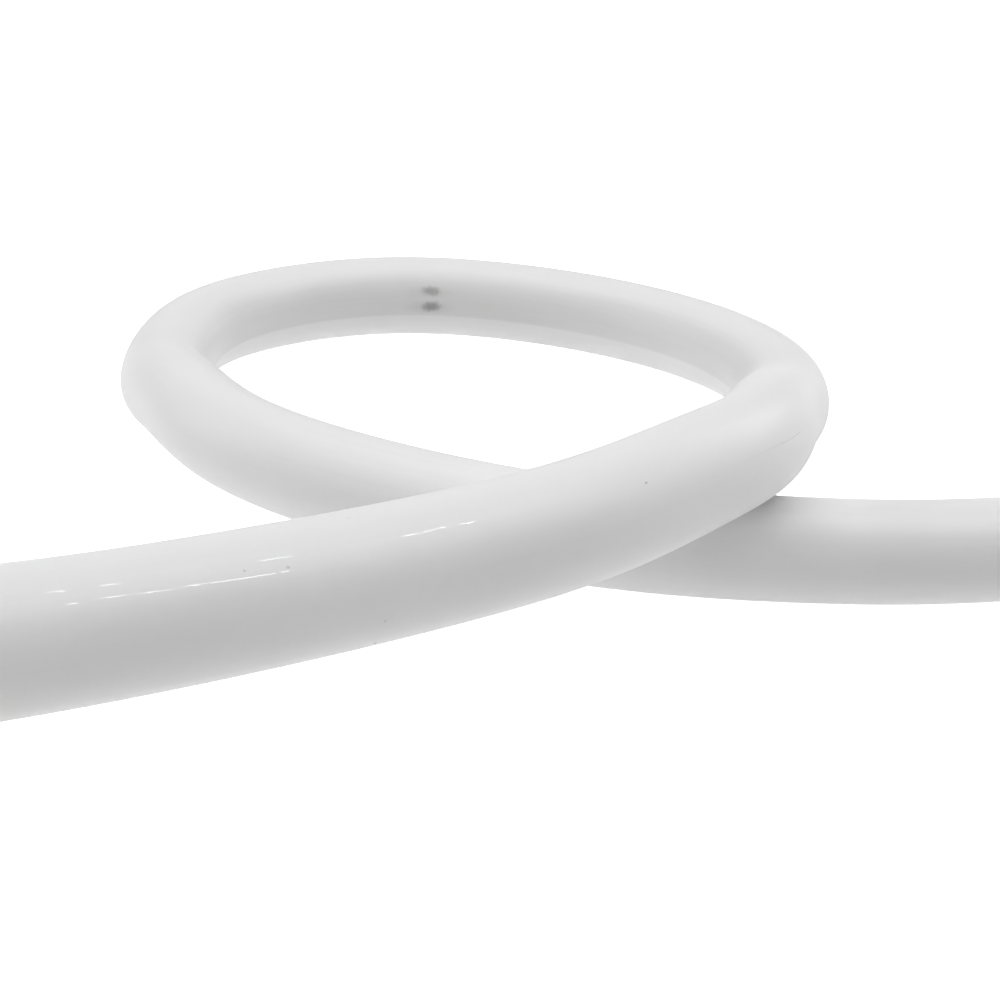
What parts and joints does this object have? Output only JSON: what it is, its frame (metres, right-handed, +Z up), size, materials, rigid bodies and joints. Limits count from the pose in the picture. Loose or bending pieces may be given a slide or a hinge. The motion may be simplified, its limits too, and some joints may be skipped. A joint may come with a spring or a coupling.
{
  "type": "led neon flex",
  "caption": "round milky silicone light tube with a slot for a flexible LED strip, lying in one loose loop that crosses over itself, both ends plain cuts",
  "frame": {"origin": "on the floor that the tube lies on, under the middle of the box around it", "axes": "+X along the longest side of the box, from the left cut end towards the right one; +Y towards the back of the loop; +Z up"},
  "size_m": [0.4578, 0.3672, 0.0541],
  "materials": {
    "milky_silicone": "glossy extruded silicone",
    "white_board": "white solder mask",
    "dull_solder": "dull tin solder"
  },
  "bodies": {
    "root": {"silicone_jacket": "milky_silicone", "led_strip_left": "white_board", "led_strip_right": "white_board", "solder_joint_upper": "dull_solder", "solder_joint_lower": "dull_solder"}
  },
  "joints": []
}
